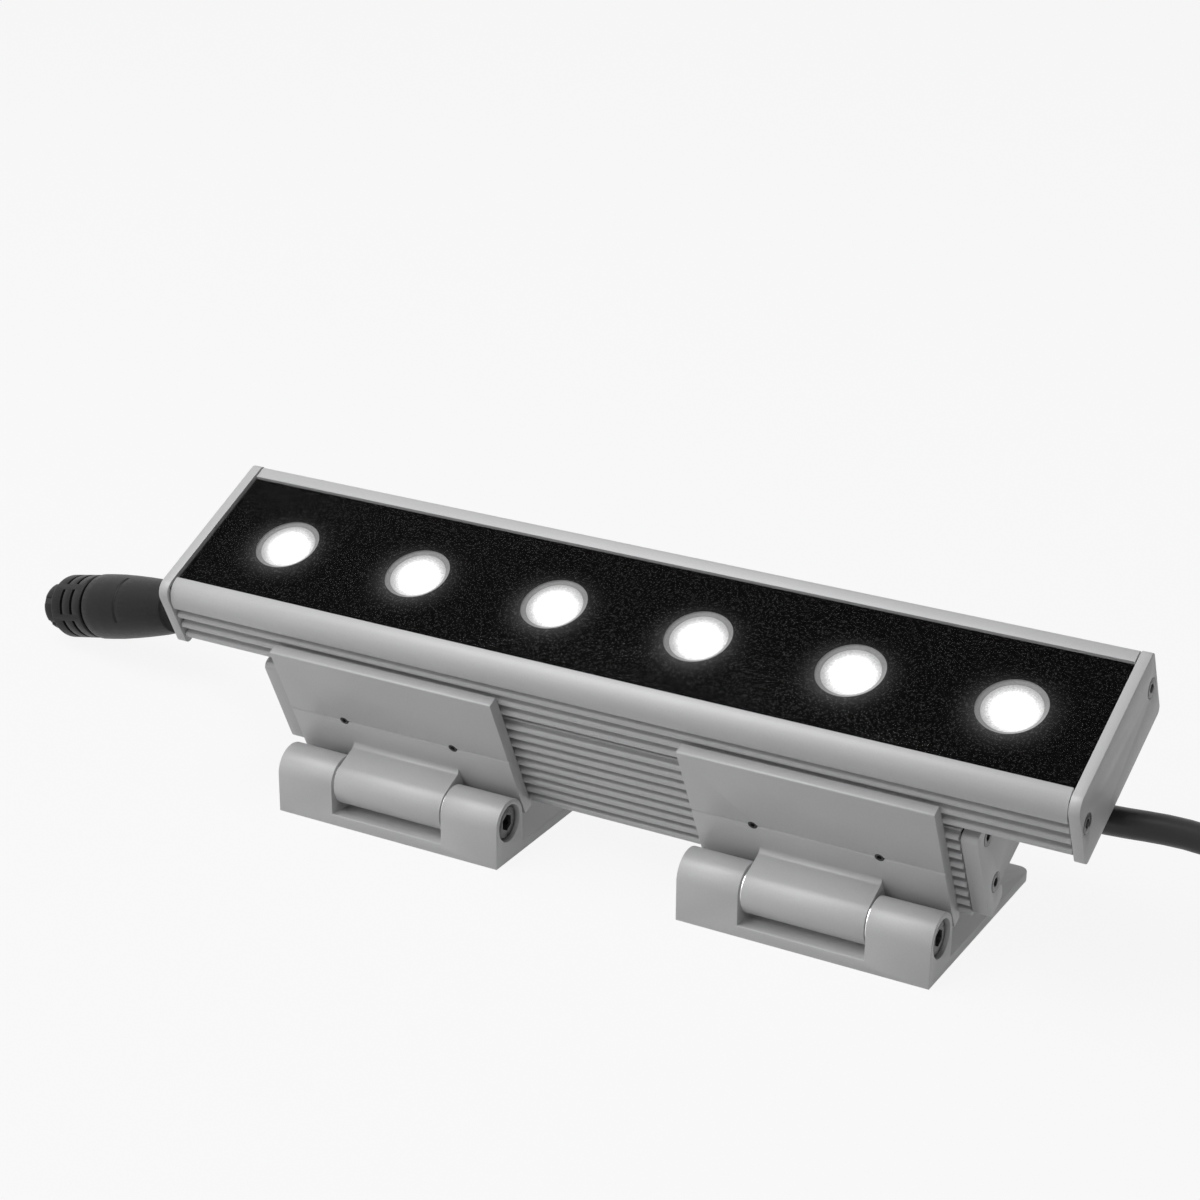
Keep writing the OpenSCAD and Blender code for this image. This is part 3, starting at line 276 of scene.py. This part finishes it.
def make_panel():
    """Black with fine specks, and a painted halo of light around each opening."""
    material, shader, place = start_material("black panel", Specular_IOR_Level=0.02)
    specks = (noise(place, 1300, 2) - 0.54) * 8.0
    share = specks.clamp()
    drive(shader, "Base Color", blend_colours(share, grey(0.001), grey(0.022)))
    drive(shader, "Roughness", share * -0.2 + 0.62)
    bump(shader, share, 0.00003, 0.4)
    across, rise, away = from_opening(place)
    # Painted light: a halo round each opening that fades outwards and is stronger below it.
    near = (1.0 - (away - OPENING_RADIUS) * (1 / OPENING_RADIUS)).clamp()
    below = (0.6 - rise * (0.4 / OPENING_RADIUS)).clamp()
    painted_glow = near * near * (near * near * 0.7 + 0.3) * below * (share * 0.4 + 0.8)
    drive(shader, "Emission Color", blend_colours(painted_glow.clamp(), grey(0.0), grey(0.07)))
    shader.inputs["Emission Strength"].default_value = 1.0
    return material


black_panel = make_panel()
print("made", black_panel.name)

# %% [markdown]
# ## Other finishes
# The rest are small parts: black oxide screws, bright washers, rubber, moulded plastics, the
# light optics and the boards inside. Each gets its own short recipe with some variation,
# because a single flat value reads as unfinished even on a small piece.

# %% Simple finishes


def make_finish(name, low, high, rough_low, rough_high, scale, depth, metallic=0.0, shine=0.5):
    """A finish that varies between two colours and two roughnesses, with a fine bump."""
    material, shader, place = start_material(name, Metallic=metallic, Specular_IOR_Level=shine)
    grain = noise(place, scale, 3)
    share = ((grain - 0.5) * 2.2 + 0.5).clamp()
    drive(shader, "Base Color", blend_colours(share, low, high))
    drive(shader, "Roughness", share * (rough_high - rough_low) + rough_low)
    bump(shader, grain, depth, 0.6)
    return material


screw_dark = make_finish("black oxide", grey(0.03), grey(0.08), 0.25, 0.4, 900, 0.00002, 0.8)
screw_plain = make_finish("plain steel", grey(0.45), grey(0.6), 0.25, 0.4, 700, 0.00002, 1.0)
bright_steel = make_finish("bright steel", grey(0.7), grey(0.85), 0.12, 0.22, 500, 0.00001, 1.0)
rubber = make_finish("gasket rubber", grey(0.012), grey(0.025), 0.6, 0.8, 900, 0.00003)
jacket = make_finish("lead jacket", grey(0.008), grey(0.016), 0.3, 0.45, 300, 0.00004, shine=0.4)
moulded = make_finish("connector plastic", grey(0.006), grey(0.013), 0.36, 0.5, 1100,
                      0.00003, shine=0.22)
gland_black = make_finish("gland plastic", grey(0.012), grey(0.025), 0.4, 0.55, 1000, 0.00003)
mill_metal = make_finish("mill aluminium", grey(0.5), grey(0.65), 0.35, 0.5, 600, 0.00002, 0.9)
bush_cream = make_finish("bush plastic", (0.7, 0.67, 0.55), (0.8, 0.78, 0.68), 0.4, 0.5,
                         700, 0.00002)
pad_blue = make_finish("thermal pad", (0.3, 0.36, 0.45), (0.4, 0.46, 0.55), 0.7, 0.85, 500,
                       0.00004)
brass = make_finish("brass", (0.6, 0.42, 0.16), (0.75, 0.56, 0.26), 0.2, 0.35, 600, 0.00001, 1.0)
copper = make_finish("enamelled wire", (0.5, 0.2, 0.07), (0.65, 0.3, 0.12), 0.25, 0.4, 900,
                     0.00005, 0.8)
board_white = make_finish("white board", grey(0.7), grey(0.8), 0.35, 0.45, 400, 0.00001)
board_green = make_finish("green board", (0.02, 0.14, 0.05), (0.03, 0.2, 0.08), 0.3, 0.4,
                          400, 0.00001)
tape_yellow = make_finish("winding tape", (0.6, 0.45, 0.06), (0.72, 0.56, 0.1), 0.35, 0.5,
                          500, 0.00002)
can_blue = make_finish("can sleeve", (0.02, 0.03, 0.16), (0.03, 0.05, 0.24), 0.25, 0.35,
                       500, 0.00001)
chip_black = make_finish("chip resin", grey(0.02), grey(0.035), 0.5, 0.6, 1500, 0.00002)
terminal_green = make_finish("terminal plastic", (0.04, 0.25, 0.07), (0.06, 0.32, 0.1),
                             0.4, 0.5, 700, 0.00002)
wire_red = make_finish("wire sleeve", (0.5, 0.04, 0.03), (0.6, 0.06, 0.04), 0.35, 0.45, 600, 0.00001)
post_white = make_finish("post plastic", grey(0.6), grey(0.7), 0.45, 0.55, 600, 0.00002)

FINISHES = {
    silver: "head_extrusion head_cap_left head_cap_right driver_housing driver_plate_left "
            "driver_plate_right leaf_left leaf_right base_left base_right",
    black_panel: "front_panel",
    screw_dark: "head_cap_screws driver_plate_screws leaf_screws pivot_bolt_left pivot_bolt_right",
    screw_plain: "joining_screws light_board_screws",
    bright_steel: "friction_washers",
    rubber: "head_cap_gaskets glass_gasket driver_plate_gaskets gland_seals wire_grommet",
    jacket: "lead_tail_left lead_tail_right left_lead right_lead",
    moulded: "left_connector left_connector_shell left_lock_ring right_connector "
             "right_lock_ring right_insert",
    gland_black: "gland_left gland_right",
    mill_metal: "bridge_strip",
    bush_cream: "barrel_bushes",
    pad_blue: "thermal_pad",
    brass: "gland_locknuts left_contacts right_contacts",
    copper: "driver_choke",
    board_white: "light_board",
    board_green: "driver_board",
    tape_yellow: "driver_transformer",
    can_blue: "driver_capacitors",
    chip_black: "driver_chips",
    terminal_green: "terminal_blocks",
    wire_red: "link_wires",
    post_white: "driver_board_posts",
}


def paint(piece, material):
    """Gives the whole piece that one material."""
    piece.data.materials.clear()
    piece.data.materials.append(material)


for material, names in FINISHES.items():
    for name in names.split():
        paint(nodes[name], material)
paint(left_lead, jacket)
paint(right_lead, jacket)
print("painted", sum(len(names.split()) for names in FINISHES.values()), "nodes")

# %% [markdown]
# ## Cover, lenses and holders
# The cover is clear and thin. The lens faces are the brightest thing in the picture: white
# discs with a soft edge that breaks up into tiny ticks where the lens meets its holder. Real
# light through glass needs many samples, so the lens face itself shines, and its holder shines
# a little beside it, more towards the near right where the light falls on its wall.

# %% Cover and light


def make_cover():
    """Clear and nearly invisible, with a faint reflection."""
    material, shader, place = start_material("clear cover", Roughness=0.03, Alpha=0.03,
                                             Specular_IOR_Level=0.25)
    drive(shader, "Base Color", blend_colours(noise(place, 20), grey(0.008), grey(0.015)))
    return material


def make_lens():
    """A white shine with a soft, ticked edge."""
    material, shader, place = start_material("lens face", Roughness=0.2, Emission_Strength=1.12)
    across, rise, away = from_opening(place)
    ticks = noise(place, 2600, 1)
    lower = ((across - rise) * (0.7 / LENS_RADIUS)).clamp()
    edge = (LENS_RADIUS - away) * (1 / (3.4 * MM)) + lower * 0.7
    edge = (edge + (ticks - 0.5) * 0.8 + 0.1).clamp()
    drive(shader, "Base Color", blend_colours(ticks, grey(0.3), grey(0.4)))
    drive(shader, "Emission Color", blend_colours(edge * edge, grey(0.2), grey(0.93)))
    return material


def make_holder():
    """Mid grey with painted light that brightens towards the near right, where the lens light falls on its
    wall.
    """
    material, shader, place = start_material("lens holder", Roughness=0.5, Emission_Strength=1.0)
    across, rise, away = from_opening(place)
    # Painted light: emission on the holder wall, brighter towards the near right.
    toward = ((across - rise) * (0.7 / OPENING_RADIUS)).clamp()
    grain = noise(place, 1400, 2)
    painted_glow = (toward * toward * 0.5 + grain * 0.12 + 0.05).clamp()
    drive(shader, "Base Color", blend_colours(grain, grey(0.1), grey(0.16)))
    drive(shader, "Emission Color", blend_colours(painted_glow, grey(0.07), grey(0.6)))
    return material


def make_chip():
    """The small warm light source under each lens."""
    material, shader, place = start_material("light chip", Emission_Strength=1.5)
    drive(shader, "Emission Color", blend_colours(noise(place, 900), (1, 0.9, 0.6), (1, 1, 0.9)))
    return material


cover, lens_face, holder_glow, chip_light = make_cover(), make_lens(), make_holder(), make_chip()
paint(nodes["front_glass"], cover)
paint(nodes["lenses"], lens_face)
paint(nodes["lens_holders"], holder_glow)
paint(nodes["light_chips"], chip_light)
print("made", cover.name, lens_face.name, holder_glow.name, chip_light.name)

# %% [markdown]
# ## Softer edges
# No machined or moulded edge is perfectly sharp: a narrow round catches the light and tells
# the eye that the piece is solid. A bevel on the model's own mesh would change the model, so
# we bevel a copy, after merging its doubled points and its flat triangles, and the copy
# stands in for the node.

# %% Soft copies


def edit(piece):
    """Makes the piece the only selected one and opens it for editing, with all selected."""
    bpy.ops.object.select_all(action="DESELECT")
    bpy.context.view_layer.objects.active = piece
    piece.select_set(True)
    bpy.ops.object.mode_set(mode="EDIT")
    bpy.ops.mesh.select_all(action="SELECT")


def close_edit():
    """Closes the mesh again after editing."""
    bpy.ops.object.mode_set(mode="OBJECT")


SAME_POINT = 0.002 * MM
FLAT_ANGLE = math.radians(0.5)
SHARP_ANGLE = math.radians(35)
SMOOTH_ANGLE = math.radians(30)


def soften(node, width, body):
    """A copy of a node whose sharp edges are rounded to that width, in metres."""
    source = nodes[node]
    piece = source.copy()
    piece.data = source.data.copy()
    piece.name = node + "_soft"
    for key in list(piece.keys()):
        del piece[key]
    piece.parent = None
    bpy.context.scene.collection.objects.link(piece)
    edit(piece)
    bpy.ops.mesh.remove_doubles(threshold=SAME_POINT)
    bpy.ops.mesh.dissolve_limited(angle_limit=FLAT_ANGLE)
    close_edit()
    edge = piece.modifiers.new("edge", "BEVEL")
    edge.width = width
    edge.segments = 2
    edge.limit_method = "ANGLE"
    edge.angle_limit = SHARP_ANGLE
    edge.use_clamp_overlap = True
    bpy.ops.object.modifier_apply(modifier="edge")
    bpy.ops.object.shade_smooth_by_angle(angle=SMOOTH_ANGLE)
    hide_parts(node)
    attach(piece, body)
    return piece


COVER_LIFT = 0.03 * MM
SAME_LEVEL = 0.01 * MM


def lift_underside(cover_piece):
    """Raises the cover's underside a hair, so that it isn't in the panel's own plane."""
    out = Vector((0, -math.sin(LEAN), math.cos(LEAN)))
    levels = [vertex.co.dot(out) for vertex in cover_piece.data.vertices]
    lowest = min(levels)
    for vertex, level in zip(cover_piece.data.vertices, levels):
        vertex.co += out * (COVER_LIFT if level < lowest + SAME_LEVEL else 0)


SOFT_PIECES = [
    ("head_extrusion", 0.25, "lamp"), ("head_cap_left", 0.4, "lamp"),
    ("head_cap_right", 0.4, "lamp"), ("driver_housing", 0.2, "lamp"),
    ("driver_plate_left", 0.4, "lamp"), ("driver_plate_right", 0.4, "lamp"),
    ("leaf_left", 0.35, "lamp"), ("leaf_right", 0.35, "lamp"),
    ("base_left", 0.4, "bases"), ("base_right", 0.4, "bases"),
    ("front_glass", 0.15, "lamp"), ("gland_left", 0.25, "lamp"), ("gland_right", 0.25, "lamp"),
    ("left_connector", 0.2, "lamp"), ("left_connector_shell", 0.15, "lamp"),
    ("right_connector", 0.2, "lamp"), ("left_lock_ring", 0.15, "left_ring"),
    ("right_lock_ring", 0.15, "right_ring"), ("head_cap_screws", 0.1, "lamp"),
    ("driver_plate_screws", 0.1, "lamp"), ("leaf_screws", 0.08, "lamp"),
    ("pivot_bolt_left", 0.12, "bases"), ("pivot_bolt_right", 0.12, "bases"),
]
for node, width, body in SOFT_PIECES:
    made = soften(node, width * MM, body)
    print(made.name, len(made.data.polygons), "faces")
    if node == "front_glass":
        lift_underside(made)

# %% [markdown]
# ## Floor, world and lamps
# The photograph is a cut-out on pure white. A white floor under soft light comes close: for
# the camera it shines almost white by itself, and the rest of its colour is real, so the
# object's shadow stays faintly on it. A broad lamp above gives the pale tops and the darker
# fronts that the photograph shows.

# %% Floor and world


def background_rays(tree):
    """1 for rays from the camera and for those that metal or glass sends on, and else 0."""
    paths = tree.nodes.new("ShaderNodeLightPath")
    kinds = ("Is Camera Ray", "Is Glossy Ray", "Is Transmission Ray")
    camera_ray, glossy_ray, transmission_ray = (Wire(tree, paths.outputs[kind]) for kind in kinds)
    return (camera_ray + glossy_ray + transmission_ray).clamp()


def make_floor():
    """A pale floor, nearly white to the camera, that keeps the shadow."""
    bpy.ops.mesh.primitive_plane_add(size=14, location=(0, 0, -0.0002))
    floor = bpy.context.object
    floor.name = "floor"
    material, shader, place = start_material("floor", Roughness=0.9)
    drive(shader, "Base Color", blend_colours(noise(place, 3), grey(0.58), grey(0.62)))
    tree = material.node_tree
    rays = background_rays(tree)
    shine = Wire(tree).make("ShaderNodeEmission", (), {"Color": (1, 1, 1, 1), "Strength": 1.0})
    own = Wire(tree, shader.outputs[0])
    mixed = Wire(tree).make("ShaderNodeMixShader", (), {0: rays * 0.9, 1: own, 2: shine})
    tree.links.new(mixed.socket, tree.nodes["Material Output"].inputs["Surface"])
    paint(floor, material)


def make_world():
    """White as a background, and a low even light on the object."""
    world = bpy.data.worlds.new("studio")
    bpy.context.scene.world = world
    world.use_nodes = True
    tree = world.node_tree
    ground = tree.nodes["Background"]
    ground.inputs["Color"].default_value = (1, 1, 1, 1)
    level = background_rays(tree) * (1 - WORLD_LEVEL) + WORLD_LEVEL
    tree.links.new(level.socket, ground.inputs["Strength"])


WORLD_LEVEL = 0.12
make_floor()
make_world()


def add_lamp(name, place, target, size, power):
    """A square soft lamp that faces a target; its power is in watts."""
    lamp = bpy.data.objects.new(name, bpy.data.lights.new(name, "AREA"))
    lamp.data.size = size
    lamp.data.energy = power
    lamp.location = place
    lamp.rotation_euler = (Vector(target) - Vector(place)).to_track_quat("-Z", "Y").to_euler()
    bpy.context.scene.collection.objects.link(lamp)


add_lamp("top softbox", (-0.55, -0.5, 1.5), (0, 0, 0.05), 1.2, 16.3)
add_lamp("front softbox", (-0.7, -1.4, 0.9), (0, 0, 0.05), 0.9, 3.2)
bpy.context.scene.view_settings.view_transform = "Standard"
